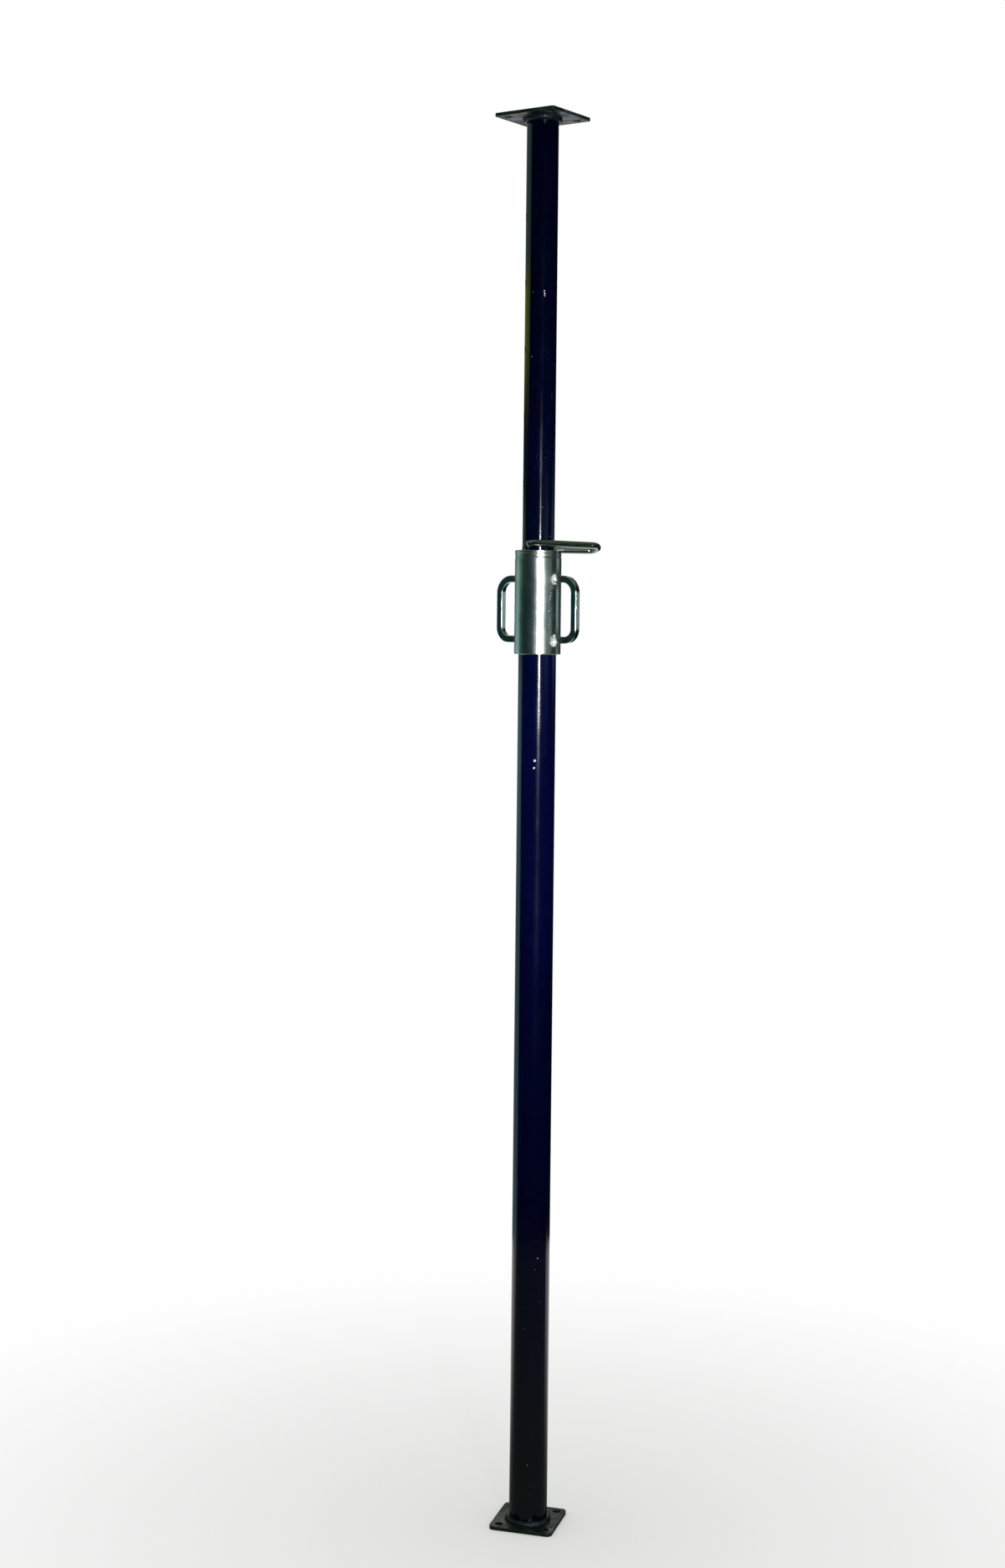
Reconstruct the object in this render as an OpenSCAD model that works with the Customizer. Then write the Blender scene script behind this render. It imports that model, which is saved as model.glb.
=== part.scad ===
// Adjustable steel prop: an outer tube with a rolled thread, a zinc sleeve nut
// with two handles, an inner tube with a row of pin holes and a G-shaped pin.
// Millimetres. Z is the axis of the tubes, z = 0 is the underside of the base
// plate, and the two nut handles lie along X.

/* [Tubes] */
// Outside diameter of the lower, outer tube
outer_d = 57; // [54:0.5:62]
// Wall thickness of the outer tube
outer_wall = 2.9; // [2.3:0.1:3.2]
// Length of the outer tube with its thread
outer_len = 1437; // [900:5:1600]
// Outside diameter of the upper, inner tube
inner_d = 48.3; // [44:0.1:48.5]
// Wall thickness of the inner tube
inner_wall = 2.9; // [2:0.1:4]
// Length of the inner tube
inner_len = 1500; // [1100:5:1550]

/* [Pin holes] */
// Distance from one pin hole to the next
hole_pitch = 100; // [80:5:125]
// Pin holes above the one in use
holes_above = 5; // [2:1:5]
// Pin holes below the one in use
holes_below = 7; // [1:1:7]
// Distance from the top pin hole to the head plate
top_margin = 148; // [100:1:200]
// Clearance of the pin in its hole, on the diameter
pin_play = 2; // [1.5:0.1:4]

/* [Pin] */
// Diameter of the pin rod
pin_d = 10; // [8:0.5:12]
// How far the pin's tip stands out past the inner tube
pin_tip = 0.5; // [0.5:0.5:12]
// Distance between the pin's two arms at the tube
pin_span = 31.5; // [31.5:0.5:40]
// Radius of the bend between the two arms, on the rod's middle
pin_bend = 12; // [10:0.5:15]
// Reach of the loop's end from the tube axis
pin_reach = 93; // [80:1:120]
// Length of the free arm past the tube axis
pin_hook = 23; // [16:1:28]
// Downward bend at the end of the free arm, degrees
pin_droop = 30; // [5:1:32]
// Tilt of the loop about the shank, degrees
pin_tilt = 18; // [14:1:18]
// Direction of the pin about the tube axis, degrees
pin_turn = 46; // [0:1:360]

/* [Sleeve nut] */
// Outside diameter of the sleeve
nut_d = 70; // [68:0.5:80]
// Height of the sleeve
nut_h = 145; // [125:0.5:180]
// How far the sleeve's top stands above the end of the outer tube
sleeve_over = 5; // [4:0.5:20]

/* [Thrust ring] */
// Thickness of the loose thrust ring under the pin
ring_t = 5.8; // [3:0.2:8]
// Height of the ring's rim, which holds the pin in a slot
rim_h = 4.6; // [2:0.2:6]
// Clearance of the pin in the ring's slot, on the width
slot_play = 2; // [1:0.5:4]

/* [Thread] */
// Pitch of the round thread
pitch = 8; // [6:0.5:10]
// Depth of the round thread
thread_depth = 1.5; // [1:0.1:1.6]
// Radial clearance between the two threads
thread_gap = 0.65; // [0.6:0.05:0.8]
// Length of the thread inside the sleeve
nut_thread_len = 40; // [30:1:48]

/* [Handles] */
// Thickness of the square handle bar
bar_w = 10.5; // [8:0.5:12]
// Corner radius of the handle bar
bar_r = 1.8; // [1:0.1:2.5]
// Reach of the handle's outer face from the tube axis
handle_reach = 75; // [70:0.5:90]
// Height of the handle over its two legs
handle_h = 101.5; // [80:0.5:110]
// Height of the lower leg's underside above the foot of the sleeve
handle_z = 16.5; // [12:0.5:25]
// Radius of the handle's upper bend, on the bar's middle
bend_top = 21; // [14:1:24]
// Radius of the handle's lower bend, on the bar's middle
bend_low = 17; // [14:1:24]

/* [Plates] */
// Side of the square head plate
head_w = 105; // [95:1:140]
// Side of the square base plate
base_w = 96; // [95:1:140]
// Thickness of both plates
plate_t = 5; // [4:0.5:8]
// Corner radius of the head plate
head_r = 4; // [2:0.5:10]
// Corner radius of the base plate
base_r = 8; // [2:0.5:12]
// Diameter of the fixing holes
fix_d = 12; // [8:0.5:14]
// Distance between two fixing holes of the head plate, along a side
head_pitch = 75; // [70:0.5:75]
// Distance between two fixing holes of the base plate, along a side
base_pitch = 70; // [66:0.5:72]
// Direction of the head plate about the axis, degrees
head_turn = 4; // [-45:1:45]
// Direction of the base plate about the axis, degrees
base_turn = 22; // [-45:1:45]
// Leg of the weld between a tube and its plate
weld_leg = 6.5; // [4:0.5:7]

/* [Hidden] */
seat = 0.3;
outer_r = outer_d / 2;
outer_bore = outer_r - outer_wall;
inner_r = inner_d / 2;
inner_bore = inner_r - inner_wall;
outer_top = plate_t + outer_len;
nut_top = outer_top + sleeve_over;
nut_z = nut_top - nut_h;
thread_z = nut_z + 1;
thread_len = outer_top - thread_z;
nut_r = nut_d / 2;
nut_root = outer_r + thread_gap;
nut_bore = nut_root + 1.35;
nut_thread_z = nut_z + 10;
ring_z = nut_top + seat;
slot_z = ring_z + ring_t;
pin_r = pin_d / 2;
pin_z = slot_z + seat + pin_r;
hole_r = (pin_d + pin_play) / 2;
hole_z = pin_z - (hole_r - pin_r - seat);
head_z = hole_z + holes_above * hole_pitch + top_margin;
inner_foot = head_z - inner_len;
top_z = head_z + plate_t;
rows_below = min(holes_below, floor((hole_z - inner_foot - 30) / hole_pitch));
rows_per_pitch = 8;
turn_steps = 32;
fine = 96;

// ---------- profiles and helpers ----------

// Square bar section with rounded corners, as points
function bar_points(w, r) = [
  for (q = [0 : 3])
    for (k = [0 : 4])
      let (a = q * 90 + k * 22.5, c = w / 2 - r)
      [
        (q == 0 || q == 3 ? c : -c) + r * cos(a),
        (q < 2 ? c : -c) + r * sin(a)
      ]
];

// Round wave of the thread: 0 on the crest and 1 in the root
function wave(a, z) = (1 - cos(360 * z / pitch - a)) / 2;

// Grows from 0 to 1 over a length and stays there
function ramp(x, len) = max(0, min(1, x / len));

// Radius of the rolled thread on the outer tube
function rolled_r(a, z) =
  outer_r
  - thread_depth * wave(a, z) * ramp(z - thread_z, 6)
  - 0.9 * ramp(z - outer_top + 2, 2);

// Radius of the thread inside the sleeve
function tapped_r(a, z) =
  nut_root
  - thread_depth * wave(a, z)
  * ramp(z - nut_thread_z, 3)
  * ramp(nut_thread_z + nut_thread_len - z, 3);

// Faces of a closed ring: a wavy wall of n rows and a plain wall of two rows.
// The wavy wall's points come first, row by row, then the plain wall's.
function wall_faces(n, m, out) = [
  for (j = [0 : n - 2])
    for (i = [0 : m - 1])
      let (
        a = j * m + i,
        b = j * m + (i + 1) % m,
        c = a + m,
        d = b + m
      )
      each (out ? [[a, c, b], [b, c, d]] : [[a, b, c], [b, d, c]])
];

function ring_faces(n, m, out) =
  let (p = n * m, q = p + m, t = (n - 1) * m)
  concat(
    wall_faces(n, m, out),
    [
      for (i = [0 : m - 1])
        let (k = (i + 1) % m)
        each (out
          ? [[p + i, p + k, q + i], [p + k, q + k, q + i],
             [i, k, p + i], [k, p + k, p + i],
             [t + i, q + i, t + k], [t + k, q + i, q + k]]
          : [[p + i, q + i, p + k], [p + k, q + i, q + k],
             [i, p + i, k], [k, p + i, p + k],
             [t + i, t + k, q + i], [t + k, q + k, q + i]])
    ]
  );

// Square plate with rounded corners and four fixing holes
module plate(w, r, t, spacing) {
  difference() {
    union() {
      translate([-w / 2, -w / 2 + r, 0]) cube([w, w - 2 * r, t]);
      translate([-w / 2 + r, -w / 2, 0]) cube([w - 2 * r, w, t]);
      for (x = [-1, 1]) {
        for (y = [-1, 1]) {
          translate([x * (w / 2 - r), y * (w / 2 - r), 0])
            cylinder(h = t, r = r, $fn = fine);
        }
      }
    }
    for (x = [-1, 1]) {
      for (y = [-1, 1]) {
        translate([x * spacing / 2, y * spacing / 2, -1])
          cylinder(h = t + 2, d = fix_d, $fn = fine);
      }
    }
  }
}

// Round weld bead that stands on a plate around a tube
module bead(r, leg) {
  rotate_extrude($fn = fine)
    polygon([
      [r, 0],
      [r + leg, 0],
      [r + leg * 0.93, leg * 0.27],
      [r + leg * 0.66, leg * 0.62],
      [r + leg * 0.3, leg * 0.9],
      [r, leg]
    ]);
}

module pipe(r, bore, len) {
  difference() {
    cylinder(h = len, r = r, $fn = fine);
    translate([0, 0, -1]) cylinder(h = len + 2, r = bore, $fn = fine);
  }
}

// ---------- foot and outer tube ----------

module base_plate() {
  color([0.1, 0.11, 0.13])
    rotate([0, 0, base_turn]) plate(base_w, base_r, plate_t, base_pitch);
}

module base_weld() {
  color([0.13, 0.14, 0.16])
    translate([0, 0, plate_t]) bead(outer_r, weld_leg);
}

module outer_tube() {
  color([0.05, 0.06, 0.14])
    translate([0, 0, plate_t]) pipe(outer_r, outer_bore, thread_z - plate_t);
}

module outer_thread() {
  n = round(thread_len / pitch * rows_per_pitch) + 1;
  m = turn_steps;
  wavy = [
    for (j = [0 : n - 1])
      for (i = [0 : m - 1])
        let (
          z = thread_z + thread_len * j / (n - 1),
          a = 360 * i / m,
          r = rolled_r(a, z)
        )
        [r * cos(a), r * sin(a), z]
  ];
  plain = [
    for (z = [thread_z, outer_top])
      for (i = [0 : m - 1])
        let (a = 360 * i / m)
        [outer_bore * cos(a), outer_bore * sin(a), z]
  ];
  color([0.36, 0.36, 0.34])
    polyhedron(points = concat(wavy, plain), faces = ring_faces(n, m, true));
}

// ---------- sleeve nut ----------

module nut_sleeve() {
  color([0.62, 0.65, 0.67])
    translate([0, 0, nut_z])
      rotate_extrude($fn = fine)
        polygon([
          [nut_bore, 0],
          [nut_r - 0.6, 0],
          [nut_r, 0.6],
          [nut_r, nut_h - 0.8],
          [nut_r - 0.8, nut_h],
          [nut_bore + 0.5, nut_h],
          [nut_bore, nut_h - 0.5]
        ]);
}

module nut_thread() {
  n = round(nut_thread_len / pitch * rows_per_pitch) + 1;
  m = turn_steps;
  wavy = [
    for (j = [0 : n - 1])
      for (i = [0 : m - 1])
        let (
          z = nut_thread_z + nut_thread_len * j / (n - 1),
          a = 360 * i / m,
          r = tapped_r(a, z)
        )
        [r * cos(a), r * sin(a), z]
  ];
  plain = [
    for (z = [nut_thread_z, nut_thread_z + nut_thread_len])
      for (i = [0 : m - 1])
        let (a = 360 * i / m)
        [nut_bore * cos(a), nut_bore * sin(a), z]
  ];
  color([0.55, 0.57, 0.58])
    polyhedron(points = concat(wavy, plain), faces = ring_faces(n, m, false));
}

// Handle bar bent into a bracket, in the XZ plane, cut to the sleeve's wall
module handle() {
  x = handle_reach - bar_w / 2;
  z1 = nut_z + handle_z + bar_w / 2;
  z2 = nut_z + handle_z + handle_h - bar_w / 2;
  x1 = nut_r - 6;
  pts = bar_points(bar_w, bar_r);
  difference() {
    union() {
      translate([x1, 0, z1])
        rotate([0, 90, 0]) linear_extrude(x - bend_low - x1) polygon(pts);
      translate([x1, 0, z2])
        rotate([0, 90, 0]) linear_extrude(x - bend_top - x1) polygon(pts);
      translate([x, 0, z1 + bend_low])
        linear_extrude(z2 - z1 - bend_low - bend_top) polygon(pts);
      translate([x - bend_low, 0, z1 + bend_low])
        rotate([90, 0, 0]) rotate([0, 0, -90])
          rotate_extrude(angle = 90, $fn = fine)
            translate([bend_low, 0]) polygon(pts);
      translate([x - bend_top, 0, z2 - bend_top])
        rotate([90, 0, 0])
          rotate_extrude(angle = 90, $fn = fine)
            translate([bend_top, 0]) polygon(pts);
    }
    translate([0, 0, nut_z - 1]) cylinder(h = nut_h + 2, r = nut_r, $fn = fine);
  }
}

// Weld beads around a handle's two feet, fuller on one side as they were laid
module handle_welds() {
  s = bar_w / 2;
  for (z = [handle_z + s, handle_z + handle_h - s]) {
    difference() {
      union() {
        translate([nut_r - 3, 0, nut_z + z])
          rotate([0, 90, 0]) cylinder(h = 6.4, r1 = s + 6.4, r2 = s + 1.9, $fn = fine);
        translate([nut_r - 1.2, -s - 0.4, nut_z + z - s * 0.35])
          sphere(r = 4.6, $fn = 48);
      }
      translate([0, 0, nut_z - 1]) cylinder(h = nut_h + 2, r = nut_r, $fn = fine);
      translate([nut_r - 8, -s, nut_z + z - s]) cube([handle_reach, bar_w, bar_w]);
    }
  }
}

module handle_right() {
  color([0.6, 0.63, 0.65]) handle();
}

module handle_left() {
  color([0.6, 0.63, 0.65]) rotate([0, 0, 180]) handle();
}

module handle_welds_right() {
  color([0.72, 0.74, 0.75]) handle_welds();
}

module handle_welds_left() {
  color([0.72, 0.74, 0.75]) rotate([0, 0, 180]) handle_welds();
}

// Loose ring between the nut and the pin, with a rim that is slotted for the pin
module thrust_ring() {
  h = ring_t + rim_h;
  bore = inner_r + 1;
  r = nut_r - 0.2;
  slot_w = pin_d + slot_play;
  color([0.68, 0.7, 0.72])
    translate([0, 0, ring_z])
      difference() {
        rotate_extrude($fn = fine)
          polygon([
            [bore, 0],
            [r - 0.5, 0],
            [r, 0.5],
            [r, ring_t - 0.5],
            [r - 0.4, ring_t],
            [r, ring_t + 0.4],
            [r, h - 0.9],
            [r - 0.9, h],
            [bore + 1, h],
            [bore, h - 1]
          ]);
        rotate([0, 0, pin_turn])
          translate([-nut_d, -slot_w / 2, ring_t]) cube([2 * nut_d, slot_w, rim_h + 1]);
      }
}

// ---------- inner tube, head and pin ----------

module inner_tube() {
  color([0.05, 0.06, 0.14])
    difference() {
      translate([0, 0, inner_foot]) pipe(inner_r, inner_bore, inner_len);
      for (k = [-rows_below : holes_above]) {
        translate([0, 0, hole_z + k * hole_pitch])
          rotate([0, 0, pin_turn])
            rotate([0, 90, 0])
              cylinder(h = 2 * inner_d, r = hole_r, center = true, $fn = fine);
      }
    }
}

module head_weld() {
  color([0.13, 0.14, 0.16])
    translate([0, 0, head_z]) mirror([0, 0, 1]) bead(inner_r, weld_leg);
}

module head_plate() {
  color([0.12, 0.13, 0.14])
    translate([0, 0, head_z])
      rotate([0, 0, head_turn]) plate(head_w, head_r, plate_t, head_pitch);
}

module g_pin() {
  tip = inner_r + pin_tip;
  end_x = pin_reach - pin_r - pin_bend;
  // The free arm leaves its bend at a small angle and has its full span at the tube
  far = norm([end_x, pin_span - pin_bend]);
  splay = atan2(pin_span - pin_bend, end_x) - asin(pin_bend / far);
  droop_r = 18;
  // The bends are a hair thicker than the straight runs, which reach into them
  lap = 0.4;
  bend_r = pin_r + 0.02;
  arm = sqrt(far * far - pin_bend * pin_bend) + pin_hook - pin_r * 0.6 - droop_r * sin(pin_droop);
  color([0.66, 0.68, 0.69])
    translate([0, 0, pin_z])
      rotate([0, 0, pin_turn])
        rotate([-pin_tilt, 0, 0]) {
          translate([1 - tip, 0, 0])
            rotate([0, 90, 0]) cylinder(h = end_x + tip - 1 + lap, r = pin_r, $fn = fine);
          translate([-tip, 0, 0])
            rotate([0, 90, 0]) cylinder(h = 1, r1 = pin_r - 1, r2 = pin_r, $fn = fine);
          translate([end_x, -pin_bend, 0])
            rotate([0, 0, splay - 90]) {
              rotate_extrude(angle = 180 - splay, $fn = fine)
                translate([pin_bend, 0]) circle(r = bend_r, $fn = fine);
              translate([pin_bend, 0, 0])
                rotate([90, 0, 0]) {
                  translate([0, 0, -lap]) cylinder(h = arm + 2 * lap, r = pin_r, $fn = fine);
                  translate([0, -droop_r, arm])
                    rotate([0, -90, 0]) rotate([0, 0, 90 - pin_droop])
                      rotate_extrude(angle = pin_droop, $fn = fine)
                        translate([droop_r, 0]) circle(r = bend_r, $fn = fine);
                  translate([0, -droop_r * (1 - cos(pin_droop)), arm + droop_r * sin(pin_droop)])
                    rotate([pin_droop, 0, 0]) translate([0, 0, -lap])
                      cylinder(h = lap + pin_r * 0.5, r1 = pin_r, r2 = pin_r * 0.72, $fn = fine);
                }
            }
        }
}

base_plate();
base_weld();
outer_tube();
outer_thread();
nut_sleeve();
nut_thread();
handle_right();
handle_left();
handle_welds_right();
handle_welds_left();
thrust_ring();
inner_tube();
head_weld();
head_plate();
g_pin();
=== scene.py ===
import math

import bpy
import numpy as np
from mathutils import Matrix, Vector


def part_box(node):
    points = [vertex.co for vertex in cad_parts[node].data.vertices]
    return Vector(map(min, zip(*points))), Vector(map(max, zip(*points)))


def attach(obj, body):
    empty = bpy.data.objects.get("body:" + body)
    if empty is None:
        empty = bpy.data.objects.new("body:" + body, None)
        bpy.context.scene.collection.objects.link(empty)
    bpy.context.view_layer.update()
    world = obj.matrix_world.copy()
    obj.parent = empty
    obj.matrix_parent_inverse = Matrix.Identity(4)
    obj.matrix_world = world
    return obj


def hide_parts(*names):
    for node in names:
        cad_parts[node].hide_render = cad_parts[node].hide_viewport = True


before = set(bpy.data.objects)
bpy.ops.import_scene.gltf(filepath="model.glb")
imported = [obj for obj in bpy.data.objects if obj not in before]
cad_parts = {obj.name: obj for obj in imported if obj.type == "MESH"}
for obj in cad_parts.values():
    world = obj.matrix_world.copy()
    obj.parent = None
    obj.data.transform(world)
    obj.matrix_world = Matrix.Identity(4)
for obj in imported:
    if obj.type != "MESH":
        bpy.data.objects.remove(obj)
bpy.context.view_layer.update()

# ---------------------------------------------------------------- camera's place
CAM_ANGLE = math.radians(-52.6)   # direction from the prop's axis to the camera
CAM_DIST = 3.376
CAM_HEIGHT = 1.38
CAM_LENS = 51.6
CAM_SHIFT_Y = -0.11625
CAM_LOOK_LEFT = 0.053             # the camera looks this far left of the axis
CAM_ROLL = math.radians(0.62)
TO_CAM = Vector((math.cos(CAM_ANGLE), math.sin(CAM_ANGLE), 0.0))
RIGHT = Vector((-TO_CAM.y, TO_CAM.x, 0.0))
UP = Vector((0, 0, 1))

# ---------------------------------------------------------------- measures from the CAD
nut_lo, nut_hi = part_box("nut_sleeve")
outer_lo, outer_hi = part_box("outer_tube")
inner_lo, inner_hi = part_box("inner_tube")
thread_lo, thread_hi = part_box("outer_thread")
tapped_lo, tapped_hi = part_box("nut_thread")
bar_lo, bar_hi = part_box("handle_right")
OUTER_R = (outer_hi.x - outer_lo.x) / 2
INNER_R = (inner_hi.x - inner_lo.x) / 2
NUT_R = (nut_hi.x - nut_lo.x) / 2
NUT_MID = (nut_lo.z + nut_hi.z) / 2
BASE_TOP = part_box("base_plate")[1].z
HEAD_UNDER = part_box("head_plate")[0].z
BAR_HALF = (bar_hi.y - bar_lo.y) / 2
LEG_Z = (bar_lo.z + BAR_HALF, bar_hi.z - BAR_HALF)


# ---------------------------------------------------------------- node helpers
class Nodes:
    """Adds nodes to one node tree. A value given to a helper is a socket or a constant."""

    def __init__(self, tree):
        self.tree = tree
        self.tree.nodes.clear()

    def new(self, kind, **settings):
        node = self.tree.nodes.new(kind)
        for name, value in settings.items():
            setattr(node, name, value)
        return node

    def put(self, value, socket):
        if hasattr(value, "links"):
            self.tree.links.new(value, socket)
        else:
            socket.default_value = value

    def calc(self, operation, a, b):
        node = self.new("ShaderNodeMath", operation=operation)
        self.put(a, node.inputs[0])
        self.put(b, node.inputs[1])
        return node.outputs[0]

    def times(self, a, b):
        return self.calc("MULTIPLY", a, b)

    def total(self, *parts):
        """The sum of value * weight over the parts."""
        result = None
        for value, weight in parts:
            term = self.times(value, weight)
            result = term if result is None else self.calc("ADD", result, term)
        return result

    def vector(self, operation, a, b=(0, 0, 0)):
        """A number from one vector or two: a length, a distance or a dot product."""
        node = self.new("ShaderNodeVectorMath", operation=operation)
        self.put(a, node.inputs[0])
        self.put(b, node.inputs[1])
        return node.outputs["Value"]

    def ramp(self, value, start, end, low=0.0, high=1.0, smooth=True):
        """From low to high as the value goes from start to end."""
        node = self.new("ShaderNodeMapRange", interpolation_type="SMOOTHSTEP" if smooth else "LINEAR")
        node.inputs["From Min"].default_value = start
        node.inputs["From Max"].default_value = end
        node.inputs["To Min"].default_value = low
        node.inputs["To Max"].default_value = high
        self.put(value, node.inputs["Value"])
        return node.outputs["Result"]

    def mix(self, factor, a, b):
        """Colour a where the factor is 0, colour b where it is 1."""
        node = self.new("ShaderNodeMix", data_type="RGBA")
        self.put(factor, node.inputs["Factor"])
        for value, socket in ((a, node.inputs[6]), (b, node.inputs[7])):
            if not hasattr(value, "links"):
                value = (*value, 1.0)
            self.put(value, socket)
        return node.outputs[2]

    def coat(self, colour, *layers):
        """Colours laid over each other, each (mask, colour) on top of the ones before."""
        for mask, tint in layers:
            colour = self.mix(mask, colour, tint)
        return colour


class Mat(Nodes):
    """A procedural material on one Principled shader."""

    def __init__(self, name):
        self.mat = bpy.data.materials.new(name)
        self.mat.use_nodes = True
        super().__init__(self.mat.node_tree)
        self.out = self.new("ShaderNodeOutputMaterial")
        self.bsdf = self.new("ShaderNodeBsdfPrincipled")
        self.put(self.bsdf.outputs[0], self.out.inputs["Surface"])
        self.coord = self.new("ShaderNodeTexCoord").outputs["Object"]

    def set(self, **values):
        for name, value in values.items():
            self.put(value, self.bsdf.inputs[name.replace("_", " ")])

    def stretch(self, scale, offset):
        """Coordinates for a pattern that is drawn out along an axis with a small scale."""
        node = self.new("ShaderNodeMapping")
        node.inputs["Scale"].default_value = scale
        node.inputs["Location"].default_value = offset
        self.put(self.coord, node.inputs["Vector"])
        return node.outputs[0]

    def noise(self, scale, detail, rough, vector=None, distortion=0.0):
        node = self.new("ShaderNodeTexNoise")
        node.inputs["Scale"].default_value = scale
        node.inputs["Detail"].default_value = detail
        node.inputs["Roughness"].default_value = rough
        node.inputs["Distortion"].default_value = distortion
        self.put(vector or self.coord, node.inputs["Vector"])
        return node.outputs["Fac"]

    def cells(self, scale, vector):
        node = self.new("ShaderNodeTexVoronoi")
        node.inputs["Scale"].default_value = scale
        self.put(vector, node.inputs["Vector"])
        return node.outputs["Distance"]

    def axis(self, which):
        """The object's own x, y or z, which is 0, 1 or 2."""
        node = self.new("ShaderNodeSeparateXYZ")
        self.put(self.coord, node.inputs[0])
        return node.outputs[which]

    def near(self, point, radius, soft=0.4):
        """1 inside a small ball about a point, fading to 0 at its radius."""
        distance = self.vector("DISTANCE", self.coord, point)
        return self.ramp(distance, radius * (1 - soft), radius, 1.0, 0.0)

    def edge(self, radius):
        """Rounded-edge normal, and how far it leans from the true one."""
        bevel = self.new("ShaderNodeBevel", samples=6)
        bevel.inputs["Radius"].default_value = radius
        true_normal = self.new("ShaderNodeNewGeometry").outputs["Normal"]
        same = self.vector("DOT_PRODUCT", bevel.outputs[0], true_normal)
        return bevel.outputs[0], self.ramp(same, 0.9, 0.995, 1.0, 0.0)

    def bump(self, height, distance, normal=None):
        node = self.new("ShaderNodeBump")
        node.inputs["Distance"].default_value = distance
        node.inputs["Strength"].default_value = 1.0
        self.put(height, node.inputs["Height"])
        if normal is not None:
            self.put(normal, node.inputs["Normal"])
        return node.outputs[0]


# ---------------------------------------------------------------- painted tubes
FOOT_DUST_TO = 0.10               # height at which the dust on a tube's foot has faded out
FOOT_SHADE_TO = 1.0               # height at which the painted shade that darkens a tube towards its foot has faded out


def paint_material(name, seed, dark, light, gloss, chips_and_glints, slide=0.0, foot=False):
    """Dark navy enamel on a steel tube: orange peel, draw lines, scuffs, chips and dust.

    Chips are (point, radius) of whitish bare spots: chips and dust specks, and on the inner tube a
    painted glint on its highlight line. Slide, from 0 to 1, adds scuffs of a tube that slides in another
    one, and foot adds the dust of a tube that stands on the floor and a painted shade that darkens it
    towards the floor.
    """
    m = Mat(name)
    shift = (seed * 3.1, seed * 1.7, seed * 0.9)
    fine = m.stretch((1, 1, 1), shift)
    cloud = m.noise(7, 4, 0.6, m.stretch((1, 1, 0.45), shift))
    scuffed = m.ramp(m.noise(9, 4, 0.62, m.stretch((1, 1, 0.3), shift)), 0.53 - 0.05 * slide, 0.68)
    scratch = m.noise(650, 1, 0.4, m.stretch((1, 1, 0.05), shift))
    scratch = m.times(m.ramp(scratch, 0.655 - 0.02 * slide, 0.70), scuffed)
    hair = m.noise(240, 1, 0.3, m.stretch((1, 1, 0.35), shift), 1.8)
    hair = m.times(m.ramp(hair, 0.70, 0.73), m.ramp(cloud, 0.5, 0.62))
    bare = m.times(m.ramp(m.noise(150, 3, 0.6, fine), 0.735, 0.755),
                   m.ramp(m.noise(5, 2, 0.5, fine), 0.5, 0.58))
    # Chips and dust specks, and on the inner tube a painted glint, all laid on as whitish bare spots.
    for point, radius in chips_and_glints:
        bare = m.calc("MAXIMUM", bare, m.near(point, radius))
    rust = m.times(m.ramp(m.noise(60, 4, 0.6, fine), 0.66, 0.74),
                   m.ramp(m.noise(6, 2, 0.5, m.stretch((1, 1, 0.6), shift)), 0.55, 0.66))
    dust = m.ramp(m.noise(85, 5, 0.7, fine), 0.45, 0.8, 0.0, 0.006)
    colour = m.mix(m.ramp(cloud, 0.35, 0.65), dark, light)
    if foot:
        low = m.ramp(m.axis(2), 0.0, FOOT_DUST_TO, 0.012, 0.0)
        patchy = m.ramp(m.noise(50, 5, 0.7, fine), 0.3, 0.7)
        dust = m.calc("ADD", dust, m.times(low, patchy))
        # Painted shade: the colour darkens to near black towards the floor, up to the height set above,
        # standing in for the light's falloff low down.
        grime_and_foot_shade = m.ramp(m.axis(2), 0.0, FOOT_SHADE_TO, 0.85, 0.0)
        colour = m.mix(grime_and_foot_shade, colour, (0.0004, 0.0005, 0.0018))
    colour = m.coat(colour,
                    (m.times(scratch, 0.25), (0.02, 0.03, 0.055)),
                    (m.times(hair, 0.3), (0.04, 0.05, 0.08)),
                    (dust, (0.26, 0.27, 0.25)),
                    (m.times(rust, 0.4), (0.06, 0.024, 0.012)),
                    (bare, (0.66, 0.68, 0.68)))
    shine = m.noise(33, 4, 0.6, m.stretch((1, 1, 0.25), shift))
    rough = m.total((m.ramp(shine, 0.3, 0.7, gloss, gloss + 0.06), 1.0), (scuffed, 0.035), (dust, 1.2))
    peel = m.noise(420, 2, 0.5, fine)
    wavy = m.noise(26, 2, 0.5, m.stretch((1, 1, 0.22), shift))
    lines = m.noise(900, 3, 0.6, m.stretch((1, 1, 0.012), shift))
    height = m.total((peel, 0.15), (wavy, 1.0), (lines, 0.12), (scratch, -0.35), (bare, -1.2))
    m.set(Base_Color=colour, Roughness=m.calc("MAXIMUM", rough, m.times(bare, 0.5)),
          Metallic=0.0, IOR=1.42, Normal=m.bump(height, 0.00005))
    return m.mat


def on_tube(height, right, radius):
    """A point on a tube's wall that faces the camera, some way to the right of its middle."""
    turn = math.asin(right / radius)
    point = TO_CAM * (radius * math.cos(turn)) + RIGHT * (radius * math.sin(turn))
    return (point.x, point.y, height)


def spots(table, tube_r, from_z=0.0):
    """Points and radii of spots, from rows of height, place to the right and radius."""
    return [(on_tube(from_z + height, right, tube_r), radius) for height, right, radius in table]


OUTER_CHIPS = ((1.1436, -0.0021, 0.0024), (1.1328, -0.0030, 0.0019), (0.402, 0.0105, 0.0012))
# On the inner tube the first three spots make a painted glint, a short whitish streak on the tube's
# highlight line; the last two are dust specks.
INNER_SPECKS_AND_GLINT = ((1.844, 0.0050, 0.0014), (1.8405, 0.0052, 0.0015), (1.837, 0.0054, 0.0012),
               (1.843, -0.0120, 0.0007), (1.746, -0.0130, 0.0007))
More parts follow.
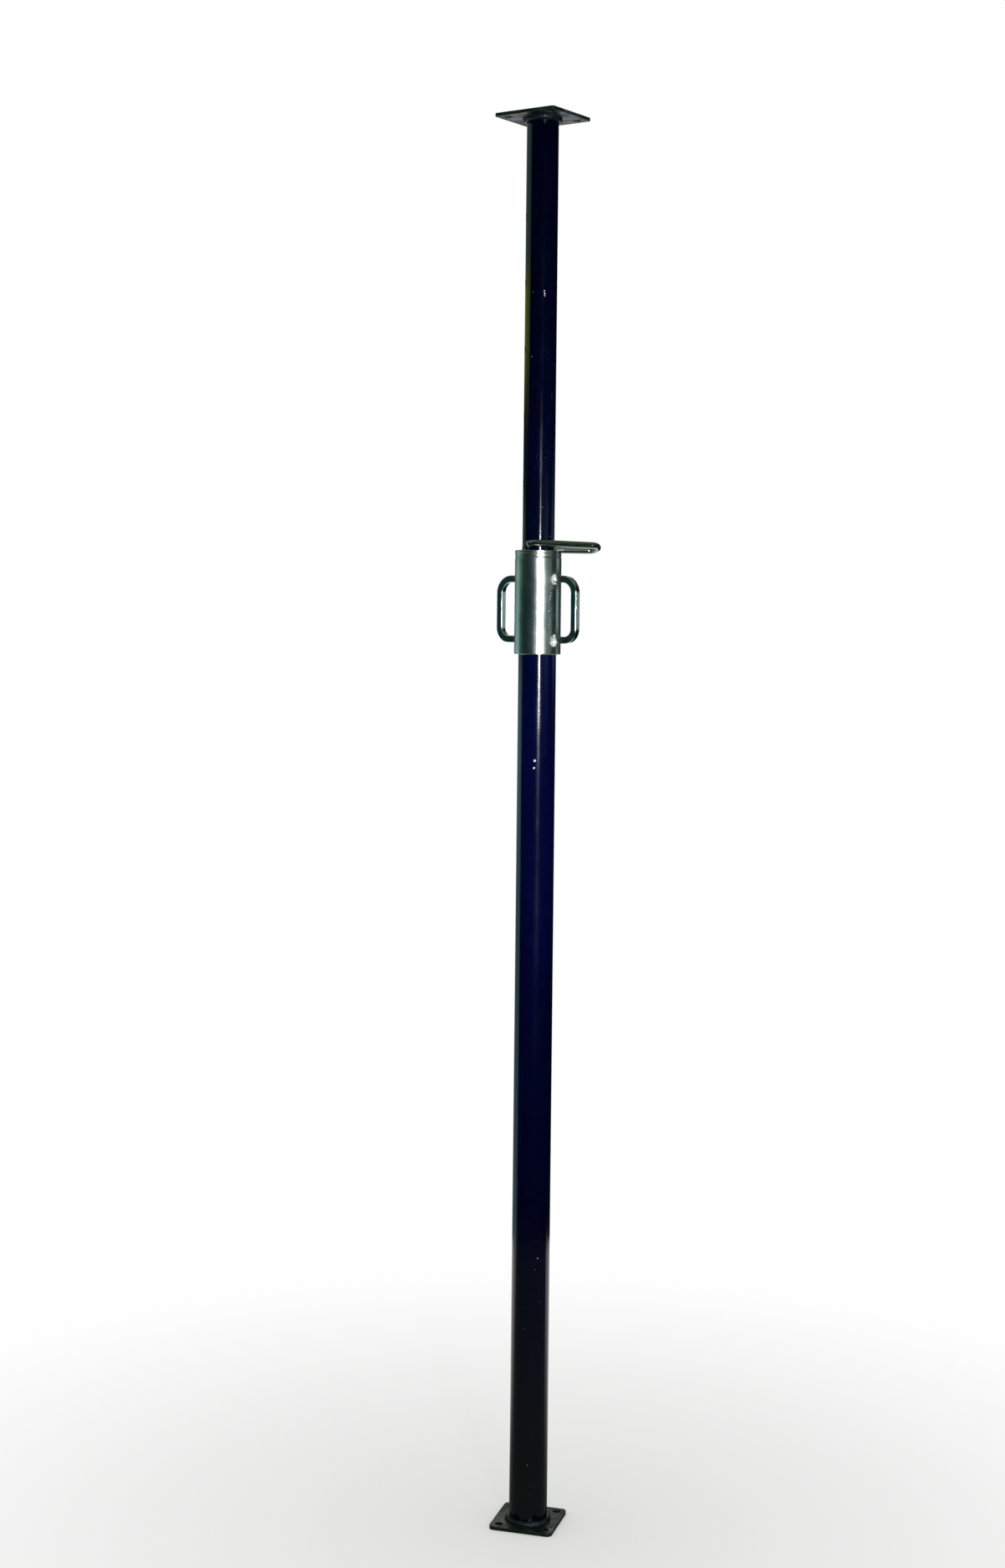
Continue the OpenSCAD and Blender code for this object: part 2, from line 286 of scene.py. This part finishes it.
# The outer tube stands on the floor: dust on its foot, and a painted shade that darkens it towards the
# floor.
outer_paint = paint_material("outer_enamel", 1.0, (0.0003, 0.0010, 0.022), (0.0006, 0.0018, 0.036),
                             0.09, spots(OUTER_CHIPS, OUTER_R), foot=True)
inner_paint = paint_material("inner_enamel", 6.0, (0.0002, 0.0006, 0.009), (0.0004, 0.0012, 0.016),
                             0.065, spots(INNER_SPECKS_AND_GLINT, INNER_R), slide=1.0)


# ---------------------------------------------------------------- plates
def plate_material(name, seed, worn):
    """Painted plate, worn through to greenish grey steel in blots and along its edges."""
    m = Mat(name)
    shift = (seed * 2.3, seed * 4.1, seed)
    fine = m.stretch((1, 1, 1), shift)
    normal, lean = m.edge(0.0009)
    blot = m.noise(38, 5, 0.6, fine, 0.4)
    grime_and_foot_shade = m.noise(110, 5, 0.7, fine)
    pale = m.noise(30, 4, 0.55, m.stretch((1, 1, 1), (seed + 4.0, 2.0, 1.0)))
    pale = m.ramp(pale, 0.52, 0.62)
    bare = m.ramp(blot, 0.52 - 0.16 * worn, 0.66 - 0.1 * worn)
    drag = m.ramp(m.noise(300, 2, 0.5, m.stretch((1, 0.06, 1), shift)), 0.6, 0.7)
    rust = m.ramp(m.noise(46, 5, 0.62, fine), 0.62, 0.72)
    colour = m.mix(m.ramp(grime_and_foot_shade, 0.3, 0.7), (0.0020, 0.0055, 0.0065), (0.0050, 0.0130, 0.0135))
    colour = m.coat(colour,
                    (m.times(bare, 0.6), (0.010, 0.034, 0.029)),
                    (m.times(m.times(bare, pale), 0.8 * worn), (0.08, 0.10, 0.17)),
                    (m.times(drag, 0.2), (0.09, 0.10, 0.10)),
                    (m.times(rust, 0.4), (0.045, 0.022, 0.012)),
                    (m.times(lean, m.ramp(grime_and_foot_shade, 0.42, 0.6, 0.05, 0.6)), (0.16, 0.17, 0.17)))
    height = m.total((grime_and_foot_shade, 1.2), (blot, 2.0), (drag, -0.4))
    m.set(Base_Color=colour, Roughness=m.ramp(blot, 0.35, 0.65, 0.34, 0.58),
          Metallic=m.times(bare, 0.2), IOR=1.42, Normal=m.bump(height, 0.00012, normal))
    return m.mat


head_paint = plate_material("head_plate_worn", 3.0, 1.0)
base_paint = plate_material("base_plate_dusty", 8.0, 0.45)


# ---------------------------------------------------------------- zinc
def zinc_material(name, seed, rough_low, rough_high, grain, edge, heat=(), glint_dents=(), wave=1.3, painted_dimming=0.0):
    """Bright zinc plate: drawn steel under it, cloudy shine, duller stained patches, heat tint by welds.

    The grain is the scale of the drawn lines along x, y and z, and edge the radius of the
    rounded edges. Heat and marks are (point, radius) of the tint by a weld and of a dent whose colour is
    lightened towards white as a painted glint. Dull, from 0 to 1, darkens the whole colour as painted
    shade.
    """
    m = Mat(name)
    shift = (seed * 1.3, seed * 2.9, seed * 0.7)
    fine = m.stretch((1, 1, 1), shift)
    normal, lean = m.edge(edge)
    cloud = m.noise(24, 5, 0.6, fine, 0.3)
    blot = m.noise(70, 5, 0.62, fine, 0.6)
    streak = m.noise(420, 3, 0.6, m.stretch(grain, shift))
    speck = m.times(m.ramp(m.cells(520, fine), 0.0, 0.22, 1.0, 0.0),
                    m.ramp(m.noise(40, 3, 0.6, fine), 0.52, 0.62))
    stain = m.ramp(blot, 0.6, 0.72)
    yellow = m.ramp(m.noise(13, 3, 0.5, fine), 0.48, 0.66)
    colour = m.mix(m.ramp(cloud, 0.3, 0.7), (0.50, 0.57, 0.57), (0.64, 0.68, 0.68))
    colour = m.coat(colour,
                    (m.times(yellow, 0.3), (0.54, 0.58, 0.42)),
                    # Painted shade: this factor darkens the whole zinc towards dark green-grey.
                    (painted_dimming, (0.12, 0.17, 0.14)),
                    (m.times(stain, 0.25), (0.34, 0.38, 0.36)),
                    (m.ramp(streak, 0.40, 0.66, 0.0, 0.30), (0.36, 0.44, 0.42)),
                    (m.times(speck, 0.2), (0.16, 0.17, 0.16)))
    rough = m.total((m.ramp(cloud, 0.3, 0.7, rough_low, rough_high), 1.0), (stain, 0.04),
                    (m.ramp(streak, 0.35, 0.65, 0.0, 0.04), 1.0))
    for point, radius in heat:
        glow = m.times(m.near(point, radius, 0.75), m.ramp(blot, 0.3, 0.6, 0.35, 1.0))
        colour = m.mix(m.times(glow, 0.5), colour, (0.22, 0.22, 0.17))
        rough = m.calc("ADD", rough, m.times(glow, 0.14))
    waves = m.noise(30, 2, 0.5, m.stretch((1, 1, 0.4), shift))
    height = m.total((m.noise(320, 3, 0.5, fine), 0.15), (streak, 0.2), (waves, wave), (speck, -0.5))
    # Each of these is a dent, rougher and sunk, and its colour is lightened towards white as a painted
    # glint.
    for point, radius in glint_dents:
        dent = m.near(point, radius, 0.8)
        colour = m.mix(m.times(dent, 0.8), colour, (0.80, 0.82, 0.82))
        rough = m.calc("ADD", rough, m.times(dent, 0.3))
        height = m.calc("ADD", height, m.times(dent, -3.0))
    colour = m.mix(m.times(lean, 0.3), colour, (0.74, 0.76, 0.75))
    m.set(Base_Color=colour, Roughness=rough, Metallic=1.0, Normal=m.bump(height, 0.00006, normal))
    return m.mat


SLEEVE_HEAT_R = 0.022
HANDLE_HEAT_R = 0.018
HANDLE_HEAT_OUT = 1.1             # the handles' tint lies further out than the sleeve's wall
# Painted glints on the sleeve: a small bright spot and a short lighter line, each on a dent.
SLEEVE_GLINT_DENTS = ((0.0648, 0.0160, 0.0016), (0.0920, 0.0190, 0.0012), (0.0880, 0.0192, 0.0012))
feet = [(side * NUT_R, 0.0, z) for side in (1, -1) for z in LEG_Z]
sleeve_heat = [(foot, SLEEVE_HEAT_R) for foot in feet]
handle_heat = [((x * HANDLE_HEAT_OUT, y, z), HANDLE_HEAT_R) for x, y, z in feet]
sleeve_zinc = zinc_material("zinc_sleeve", 2.0, 0.22, 0.26, (1, 1, 0.06), 0.0007, heat=sleeve_heat,
                            glint_dents=spots(SLEEVE_GLINT_DENTS, NUT_R, nut_lo.z), wave=0.45)
handle_zinc = zinc_material("zinc_handles", 5.0, 0.15, 0.19, (1, 1, 0.3), 0.0012, heat=handle_heat,
                            wave=0.3)
ring_zinc = zinc_material("zinc_ring", 7.0, 0.22, 0.30, (1, 1, 6), 0.0006)
# The pin's zinc is darkened as painted shade, standing in for the dark room that its rods reflect.
pin_zinc = zinc_material("zinc_pin", 9.0, 0.06, 0.10, (1, 1, 1), 0.0008, wave=0.5, painted_dimming=0.6)


# ---------------------------------------------------------------- welds and threads
def weld_bump(m, patch):
    height = m.total((m.noise(520, 3, 0.6), 0.6), (patch, 0.8))
    return m.bump(height, 0.00012)


def painted_weld_material(name):
    """Weld bead under the tube's paint, rubbed through to grey in patches."""
    m = Mat(name)
    tone = m.noise(180, 4, 0.6)
    patch = m.noise(45, 4, 0.6)
    bare = m.ramp(patch, 0.60, 0.66)
    colour = m.mix(m.ramp(tone, 0.35, 0.65), (0.0025, 0.0045, 0.014), (0.007, 0.010, 0.026))
    colour = m.mix(bare, colour, (0.05, 0.07, 0.10))
    m.set(Base_Color=colour, Roughness=m.ramp(tone, 0.3, 0.7, 0.34, 0.50),
          Metallic=m.times(bare, 0.5), IOR=1.45, Normal=weld_bump(m, patch))
    return m.mat


def bright_weld_material(name):
    """Zinc plated weld bead, burnt brown in patches, with a painted highlight: whiter and less metallic
    on its -Y side, towards the camera and the key light.
    """
    m = Mat(name)
    tone = m.noise(180, 4, 0.6)
    patch = m.noise(45, 4, 0.6)
    # Painted highlight: a white patch on the bead's -Y side.
    painted_glint = m.times(m.ramp(m.axis(1), -0.0035, -0.0065), m.ramp(m.noise(130, 3, 0.5), 0.36, 0.50))
    colour = m.mix(m.ramp(tone, 0.35, 0.65), (0.62, 0.64, 0.63), (0.80, 0.81, 0.81))
    colour = m.coat(colour,
                    (m.ramp(patch, 0.60, 0.70, 0.0, 0.5), (0.24, 0.22, 0.17)),
                    (painted_glint, (0.86, 0.88, 0.87)))
    m.set(Base_Color=colour, Roughness=m.ramp(tone, 0.3, 0.7, 0.20, 0.32),
          Metallic=m.calc("SUBTRACT", 1.0, m.times(painted_glint, 0.75)), Normal=weld_bump(m, patch))
    return m.mat


def thread_material(name):
    """Steel thread with dark grease in patches."""
    m = Mat(name)
    grease = m.ramp(m.noise(55, 5, 0.65), 0.42, 0.6)
    fine = m.noise(400, 4, 0.6)
    colour = m.mix(m.ramp(fine, 0.3, 0.7), (0.30, 0.30, 0.29), (0.46, 0.46, 0.45))
    colour = m.mix(m.times(grease, 0.7), colour, (0.055, 0.045, 0.030))
    m.set(Base_Color=colour, Roughness=m.ramp(fine, 0.3, 0.7, 0.22, 0.36),
          Metallic=m.calc("SUBTRACT", 1.0, m.times(grease, 0.6)), Normal=m.bump(fine, 0.00006))
    return m.mat


weld_bright = bright_weld_material("weld_bright")
weld_paint = painted_weld_material("weld_painted")
steel_thread = thread_material("greased_thread")

# ---------------------------------------------------------------- materials on the CAD nodes
FINISHES = {
    "outer_tube": outer_paint,
    "inner_tube": inner_paint,
    "head_plate": head_paint,
    "base_plate": base_paint,
    "nut_sleeve": sleeve_zinc,
    "handle_right": handle_zinc,
    "handle_left": handle_zinc,
    "thrust_ring": ring_zinc,
    "g_pin": pin_zinc,
    "base_weld": weld_paint,
    "head_weld": weld_paint,
    "handle_welds_right": weld_bright,
    "handle_welds_left": weld_bright,
    "outer_thread": steel_thread,
    "nut_thread": steel_thread,
}
for node_name, finish in FINISHES.items():
    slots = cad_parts[node_name].data.materials
    slots.clear()
    slots.append(finish)


# ---------------------------------------------------------------- pieces that replace CAD nodes
def mesh_piece(name, verts, faces, material, body, node):
    """A smooth mesh that rides on a body and stands for one CAD node."""
    mesh = bpy.data.meshes.new(name)
    mesh.from_pydata(verts, [], faces)
    mesh.validate()
    for face in mesh.polygons:
        face.use_smooth = True
    mesh.materials.append(material)
    piece = bpy.data.objects.new(name, mesh)
    bpy.context.scene.collection.objects.link(piece)
    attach(piece, body)
    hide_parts(node)


def clamp(x):
    return min(1.0, max(0.0, x))


def turned(faces):
    """The same faces, looking the other way."""
    return [tuple(reversed(face)) for face in faces]


# ---------------------------------------------------------------- threads, wound smoothly
PITCH = 0.008
DEPTH = 0.0015
THREAD_GAP = 0.00065              # between the rolled thread and the tapped one
TUBE_WALL = 0.0029
TAPPED_WALL = 0.00135             # from the tapped thread's roots out to the sleeve's bore
END_TAPER = (0.0009, 0.002)       # how far in, and over what height, the tube's end is tapered
THREAD_SIDES = 96
ROWS_A_TURN = 16


def thread_rows(z0, z1, radius, run_in, run_out, taper):
    """Points of a wavy wall, row by row, its waves fading over run_in and run_out at its ends."""
    rows = int(round((z1 - z0) / PITCH * ROWS_A_TURN)) + 1
    verts = []
    for i in range(rows):
        z = z0 + (z1 - z0) * i / (rows - 1)
        fade = clamp((z - z0) / run_in)
        if run_out:
            fade *= clamp((z1 - z) / run_out)
        inset = taper[0] * clamp((z - z1 + taper[1]) / taper[1]) if taper else 0.0
        for j in range(THREAD_SIDES):
            a = 2 * math.pi * j / THREAD_SIDES
            wave = (1 - math.cos(2 * math.pi * z / PITCH - a)) / 2
            r = radius - DEPTH * wave * fade - inset
            verts.append((r * math.cos(a), r * math.sin(a), z))
    return rows, verts


def wavy_faces(rows, outside):
    """Quads of the wavy wall, which looks out from the axis or in towards it."""
    sides = THREAD_SIDES
    faces = []
    for row in range(0, (rows - 1) * sides, sides):
        for j in range(sides):
            k = (j + 1) % sides
            if outside:
                faces.append((row + j, row + k, row + sides + k, row + sides + j))
            else:
                faces.append((row + j, row + sides + j, row + sides + k, row + k))
    return faces


def plain_faces(rows):
    """Quads of the plain wall behind an outside thread, and of the ring at each end."""
    sides = THREAD_SIDES
    top = (rows - 1) * sides
    back_lo = rows * sides
    back_hi = back_lo + sides
    faces = []
    for j in range(sides):
        k = (j + 1) % sides
        faces.append((back_lo + j, back_hi + j, back_hi + k, back_lo + k))
        faces.append((j, back_lo + j, back_lo + k, k))
        faces.append((top + j, top + k, back_hi + k, back_hi + j))
    return faces


def thread_piece(name, z0, z1, radius, back, run_in, run_out, body, node, outside):
    """A closed ring with a wavy wall at the radius and a plain one at back."""
    rows, verts = thread_rows(z0, z1, radius, run_in, run_out, END_TAPER if outside else None)
    for z in (z0, z1):
        for j in range(THREAD_SIDES):
            a = 2 * math.pi * j / THREAD_SIDES
            verts.append((back * math.cos(a), back * math.sin(a), z))
    plain = plain_faces(rows)
    faces = wavy_faces(rows, outside) + (plain if outside else turned(plain))
    mesh_piece(name, verts, faces, steel_thread, body, node)


TAPPED_R = OUTER_R + THREAD_GAP
thread_piece("thread_rolled", thread_lo.z, thread_hi.z, OUTER_R, OUTER_R - TUBE_WALL,
             0.006, 0, "outer", "outer_thread", outside=True)
thread_piece("thread_tapped", tapped_lo.z, tapped_hi.z, TAPPED_R, TAPPED_R + TAPPED_WALL,
             0.003, 0.003, "nut", "nut_thread", outside=False)


# ---------------------------------------------------------------- weld beads
def ripple(t, count, phase):
    """Overlapping scallops of a weld laid in one direction, from 0 to 1."""
    x = (t * count + phase) % 1.0
    return (1 - x) ** 0.6 * min(1.0, x * 7)


def column_faces(cols, rows, base=0):
    """Quads between columns of points that close round into a ring."""
    faces = []
    for j in range(cols):
        a = base + j * rows
        b = base + (j + 1) % cols * rows
        for i in range(rows - 1):
            faces.append((a + i, a + i + 1, b + i + 1, b + i))
    return faces


BEAD_LEG = 0.0062                 # size of the beads around the tubes, on the plates
BEAD_SINK = 0.0004                # a bead's inner edge lies this far inside the tube's wall
BEAD_COLS = 480
BEAD_ROWS = 12


def ring_bead(name, radius, z, up, body, node, ripples, seed):
    """Bead in the corner between a tube and a plate, above the height z or below it."""
    rng = np.random.default_rng(seed)
    wob = rng.uniform(-1, 1, 2)
    verts = []
    for j in range(BEAD_COLS):
        t = j / BEAD_COLS
        a = 2 * math.pi * t
        uneven = 0.045 * math.sin(3 * a + wob[0] * 3) + 0.035 * math.sin(7 * a + wob[1] * 3)
        size = BEAD_LEG * (0.90 + uneven)
        for i in range(BEAD_ROWS):
            p = math.pi / 2 * i / (BEAD_ROWS - 1)
            rip = ripple(t, ripples, 0.35 * math.sin(2 * p))
            belly = 1.0 + 0.10 * math.sin(2 * p) + 0.09 * (rip - 0.5) * math.sin(2 * p) ** 0.7
            r = radius + size * math.sin(p) * belly if i else radius - BEAD_SINK
            h = size * math.cos(p) * belly
            verts.append((r * math.cos(a), r * math.sin(a), z + (h if up else -h)))
    faces = column_faces(BEAD_COLS, BEAD_ROWS)
    mesh_piece(name, verts, faces if up else turned(faces), weld_paint, body, node)


ring_bead("weld_base_bead", OUTER_R, BASE_TOP, True, "outer", "base_weld", 40, 3)
ring_bead("weld_head_bead", INNER_R, HEAD_UNDER, False, "inner", "head_weld", 34, 4)

FOOT_COLS = 144
FOOT_ROWS = 10
FOOT_RIPPLES = 13
FOOT_LEG = 0.0034                 # size of the bead around a handle's leg
FOOT_SINK = 0.0002                # the bead reaches this far into the bar and the wall
BLOB_RISE = 0.0022                # how far the blob stands up the leg, beyond the bead
# For the lower leg and the upper one: the turn of the blob where the weld ends, and how far
# it spreads on the sleeve.
FOOT_BLOBS = ((0.70, 0.0034), (0.25, 0.0022))


def foot_points(leg_z, blob_turn, blob_spread, phase, sign):
    """Points of the bead around one leg, column by column, from the leg to the sleeve's wall."""
    half = BAR_HALF - FOOT_SINK
    verts = []
    for j in range(FOOT_COLS):
        t = j / FOOT_COLS
        a = 2 * math.pi * t
        ca = math.cos(a)
        sa = math.sin(a)
        square = half * (abs(ca) ** 5 + abs(sa) ** 5) ** (-1 / 5)
        blob = max(0.0, math.cos(a - math.pi - blob_turn)) ** 4
        wide = FOOT_LEG + blob_spread * blob
        wide += 0.0004 * math.sin(2 * a + phase[0]) + 0.0003 * math.sin(5 * a + phase[1])
        tall = FOOT_LEG + BLOB_RISE * blob + 0.0004 * math.sin(3 * a + phase[2])
        for i in range(FOOT_ROWS):
            p = math.pi / 2 * i / (FOOT_ROWS - 1)
            rip = ripple(t, FOOT_RIPPLES, 0.3 * math.sin(2 * p) + phase[3])
            belly = 1.0 + 0.12 * math.sin(2 * p) + 0.16 * (rip - 0.5) * math.sin(2 * p) ** 0.7
            out = square + wide * math.sin(p) * belly
            y = out * ca
            x = math.sqrt(NUT_R ** 2 - y * y) - FOOT_SINK + tall * math.cos(p) * belly
            verts.append((sign * x, sign * y, leg_z + out * sa))
    return verts


def foot_bead(name, sign, body, node, seed):
    """Beads around a handle's two feet: from the bar's sides down onto the sleeve's wall."""
    rng = np.random.default_rng(seed)
    verts = []
    faces = []
    for leg_z, (blob_turn, blob_spread) in zip(LEG_Z, FOOT_BLOBS):
        phase = rng.uniform(0, 6.28, 4)
        faces += column_faces(FOOT_COLS, FOOT_ROWS, len(verts))
        verts += foot_points(leg_z, blob_turn, blob_spread, phase, sign)
    mesh_piece(name, verts, faces, weld_bright, body, node)


foot_bead("weld_feet_right", 1, "nut", "handle_welds_right", 21)
foot_bead("weld_feet_left", -1, "nut", "handle_welds_left", 22)

# ---------------------------------------------------------------- floor
FLOOR_R = 1.5
FLOOR_SIDES = 120
FLOOR_DROP = 0.0003               # keeps the floor clear of the base plate's underside


def floor_object():
    ring = []
    for k in range(FLOOR_SIDES):
        a = 2 * math.pi * k / FLOOR_SIDES
        ring.append((FLOOR_R * math.cos(a), FLOOR_R * math.sin(a), 0))
    fans = [(0, 1 + k, 1 + (k + 1) % FLOOR_SIDES) for k in range(FLOOR_SIDES)]
    mesh = bpy.data.meshes.new("floor")
    mesh.from_pydata([(0, 0, 0)] + ring, [], fans)
    obj = bpy.data.objects.new("floor", mesh)
    obj.location.z = -FLOOR_DROP
    bpy.context.scene.collection.objects.link(obj)
    return obj


def floor_material(name):
    """Pale matt floor that the camera sees fade to white outwards, with a painted contact shadow: where
    ambient occlusion finds the prop close, less white is mixed in and the lit floor with the prop's
    shadow shows.
    """
    m = Mat(name)
    grain = m.noise(60, 4, 0.6)
    m.set(Base_Color=m.mix(m.ramp(grain, 0.3, 0.7), (0.50, 0.50, 0.49), (0.56, 0.56, 0.55)),
          Roughness=0.9, Normal=m.bump(grain, 0.0004))
    # Painted contact shadow: ambient occlusion lowers the white near the prop's foot.
    shade = m.new("ShaderNodeAmbientOcclusion", samples=12)
    shade.inputs["Distance"].default_value = 0.35
    outside_painted_shadow = m.ramp(shade.outputs["AO"], 0.2, 1.0, 0.35, 1.0, smooth=False)
    fade = m.times(m.ramp(m.vector("LENGTH", m.coord), 0.1, FLOOR_R * 0.95, 0.74, 1.0), outside_painted_shadow)
    behind = m.ramp(m.vector("DOT_PRODUCT", m.coord, -TO_CAM), 0.0, 0.6)
    path = m.new("ShaderNodeLightPath").outputs
    mirrored = m.calc("MAXIMUM", path["Is Glossy Ray"], path["Is Transmission Ray"])
    seen = m.calc("MAXIMUM", path["Is Camera Ray"], m.times(mirrored, behind))
    white = m.new("ShaderNodeEmission")
    white.inputs["Color"].default_value = (1, 1, 1, 1)
    white.inputs["Strength"].default_value = 1.0
    blend = m.new("ShaderNodeMixShader")
    m.put(m.times(fade, seen), blend.inputs[0])
    m.put(m.bsdf.outputs[0], blend.inputs[1])
    m.put(white.outputs[0], blend.inputs[2])
    m.put(blend.outputs[0], m.out.inputs["Surface"])
    return m.mat


floor = floor_object()
floor.data.materials.append(floor_material("pale_floor"))

# ---------------------------------------------------------------- room
# The room as the metal sees it, in bands by the rise of a direction (its z, 0 at the level).
# Each band has its colours by the angle about the axis in degrees, 0 at the camera and
# positive to its right. A white backdrop stands behind the prop, at 180. On the left is a
# wall: blue low down, with a bright window just below the level, pale green at the level, dark
# above it, then olive and then green. On the right are pale panels, at the level only. The
# rest is dark.
WHITE = (1.0, 1.0, 1.0)
LEVEL = (
    (-180, WHITE), (-167, WHITE),
    (-160, (0.09, 0.13, 0.11)), (-140, (0.11, 0.16, 0.13)),
    (-128, (0.30, 0.46, 0.36)), (-116, (0.34, 0.52, 0.40)),
    (-108, (0.04, 0.10, 0.08)), (-96, (0.006, 0.055, 0.052)),
    (-40, (0.004, 0.048, 0.050)), (-22, (0.006, 0.060, 0.062)),
    (28, (0.05, 0.11, 0.10)), (40, (0.22, 0.31, 0.26)),
    (54, (0.30, 0.46, 0.37)), (66, (0.38, 0.58, 0.48)),
    (73, (0.010, 0.055, 0.045)), (104, (0.006, 0.040, 0.034)),
    (112, (0.24, 0.36, 0.32)), (128, (0.24, 0.36, 0.32)),
    (136, (0.006, 0.012, 0.012)), (160, (0.006, 0.012, 0.012)),
    (170, WHITE))
LOW = (
    (-180, WHITE), (-168, WHITE),
    (-162, (0.10, 0.17, 0.17)), (-140, (0.20, 0.34, 0.36)),
    (-120, (0.30, 0.52, 0.58)), (-101, (0.38, 0.66, 0.78)),
    (-96, (0.002, 0.008, 0.014)), (-20, (0.002, 0.006, 0.012)),
    (20, (0.004, 0.010, 0.016)), (60, (0.002, 0.006, 0.010)),
    (163, (0.001, 0.003, 0.004)), (172, WHITE))
WINDOW = (
    (-180, WHITE), (-168, WHITE),
    (-162, (0.10, 0.17, 0.17)), (-140, (0.24, 0.42, 0.46)),
    (-124, (0.52, 0.92, 1.10)), (-106, (0.52, 0.92, 1.10)),
    (-99, (0.002, 0.008, 0.014)), (-20, (0.002, 0.006, 0.012)),
    (20, (0.004, 0.010, 0.016)), (60, (0.002, 0.006, 0.010)),
    (163, (0.001, 0.003, 0.004)), (172, WHITE))
HIGH = (
    (-180, WHITE), (-168, WHITE),
    (-160, (0.004, 0.008, 0.006)), (-92, (0.002, 0.006, 0.010)),
    (60, (0.003, 0.006, 0.008)),
    (163, (0.001, 0.003, 0.004)), (172, WHITE))
OLIVE = (
    (-180, WHITE), (-168, WHITE),
    (-160, (0.12, 0.14, 0.05)), (-140, (0.60, 0.74, 0.06)),
    (-90, (0.70, 0.86, 0.08)), (-82, (0.002, 0.006, 0.006)),
    (60, (0.003, 0.006, 0.008)),
    (163, (0.001, 0.003, 0.004)), (172, WHITE))
UPPER = (
    (-180, WHITE), (-168, WHITE),
    (-160, (0.10, 0.14, 0.10)), (-130, (0.24, 0.42, 0.36)),
    (-90, (0.30, 0.55, 0.48)), (-82, (0.002, 0.006, 0.008)),
    (60, (0.003, 0.006, 0.008)),
    (163, (0.001, 0.003, 0.004)), (172, WHITE))
CEILING = (0.14, 0.18, 0.09)
# Each band above the lowest, and the rises between which it takes over from the one below it.
BANDS = (
    (-0.120, -0.090, WINDOW),
    (-0.034, -0.027, LEVEL),
    (0.030, 0.055, HIGH),
    (0.075, 0.120, OLIVE),
    (0.140, 0.147, UPPER))
CEILING_FROM = 0.30
CEILING_TO = 0.75


def room_colours(w, around, table):
    """A colour ramp by the angle, given as 0 to 1 for -180 to 180 degrees."""
    node = w.new("ShaderNodeValToRGB")
    stops = node.color_ramp.elements
    while len(stops) < len(table):
        stops.new(0.5)
    for stop, row in zip(stops, table):
        stop.position = (row[0] + 180) / 360
    for stop, row in zip(stops, table):
        stop.color = (*row[1], 1.0)
    w.put(around, node.inputs[0])
    return node.outputs[0]


def make_room():
    """The world: the room for the metal and the light, and plain white for the camera."""
    world = bpy.data.worlds.new("studio")
    bpy.context.scene.world = world
    world.use_nodes = True
    w = Nodes(world.node_tree)
    direction = w.new("ShaderNodeTexCoord").outputs["Generated"]
    to_right = w.vector("DOT_PRODUCT", direction, RIGHT)
    to_cam = w.vector("DOT_PRODUCT", direction, TO_CAM)
    rise = w.vector("DOT_PRODUCT", direction, UP)
    around = w.ramp(w.calc("ARCTAN2", to_right, to_cam), -math.pi, math.pi, smooth=False)
    colour = room_colours(w, around, LOW)
    for start, end, table in BANDS:
        colour = w.mix(w.ramp(rise, start, end), colour, room_colours(w, around, table))
    colour = w.mix(w.ramp(rise, CEILING_FROM, CEILING_TO), colour, CEILING)
    room = w.new("ShaderNodeBackground")
    w.put(colour, room.inputs["Color"])
    white = w.new("ShaderNodeBackground")
    white.inputs["Color"].default_value = (1, 1, 1, 1)
    both = w.new("ShaderNodeMixShader")
    w.put(w.new("ShaderNodeLightPath").outputs["Is Camera Ray"], both.inputs[0])
    w.put(room.outputs[0], both.inputs[1])
    w.put(white.outputs[0], both.inputs[2])
    w.put(both.outputs[0], w.new("ShaderNodeOutputWorld").inputs["Surface"])


make_room()


# ---------------------------------------------------------------- lights
def soft_box(name, angle, dist, height, size, power, colour, aim, spread=180):
    """A soft box, some degrees to the right of the camera, aimed at a height on the axis."""
    a = CAM_ANGLE + math.radians(angle)
    light = bpy.data.lights.new(name, "AREA")
    light.shape = "RECTANGLE"
    light.size, light.size_y = size
    light.energy = power
    light.color = colour
    light.spread = math.radians(spread)
    lamp = bpy.data.objects.new(name, light)
    lamp.location = (math.cos(a) * dist, math.sin(a) * dist, height)
    way = Vector((0, 0, aim)) - lamp.location
    lamp.rotation_euler = way.to_track_quat("-Z", "Y").to_euler()
    bpy.context.scene.collection.objects.link(lamp)


soft_box("key", angle=12.5, dist=3.3, height=CAM_HEIGHT - 0.02, size=(0.28, 0.32), power=11.0,
         colour=(0.97, 1.0, 1.0), aim=1.25, spread=58)
soft_box("handle_strip", angle=109, dist=1.6, height=NUT_MID + 0.005, size=(0.22, 0.24), power=0.12,
         colour=(0.95, 1.0, 1.0), aim=NUT_MID)
soft_box("soft_top", angle=10, dist=1.6, height=3.8, size=(1.6, 1.6), power=3.0,
         colour=(1, 1, 0.94), aim=0.6)

# ---------------------------------------------------------------- camera
cam_data = bpy.data.cameras.new("camera")
cam_data.sensor_width = 36
cam_data.lens = CAM_LENS
cam_data.shift_y = CAM_SHIFT_Y
cam = bpy.data.objects.new("camera", cam_data)
cam.location = TO_CAM * CAM_DIST + UP * CAM_HEIGHT
look = (-RIGHT * CAM_LOOK_LEFT) - TO_CAM * CAM_DIST
look.normalize()
cam_side = look.cross(UP).normalized()
level_view = Matrix((cam_side, UP, -look)).transposed()
cam.rotation_euler = (level_view @ Matrix.Rotation(CAM_ROLL, 3, "Z")).to_euler()
bpy.context.scene.collection.objects.link(cam)
bpy.context.scene.camera = cam
bpy.context.scene.view_settings.view_transform = "Standard"
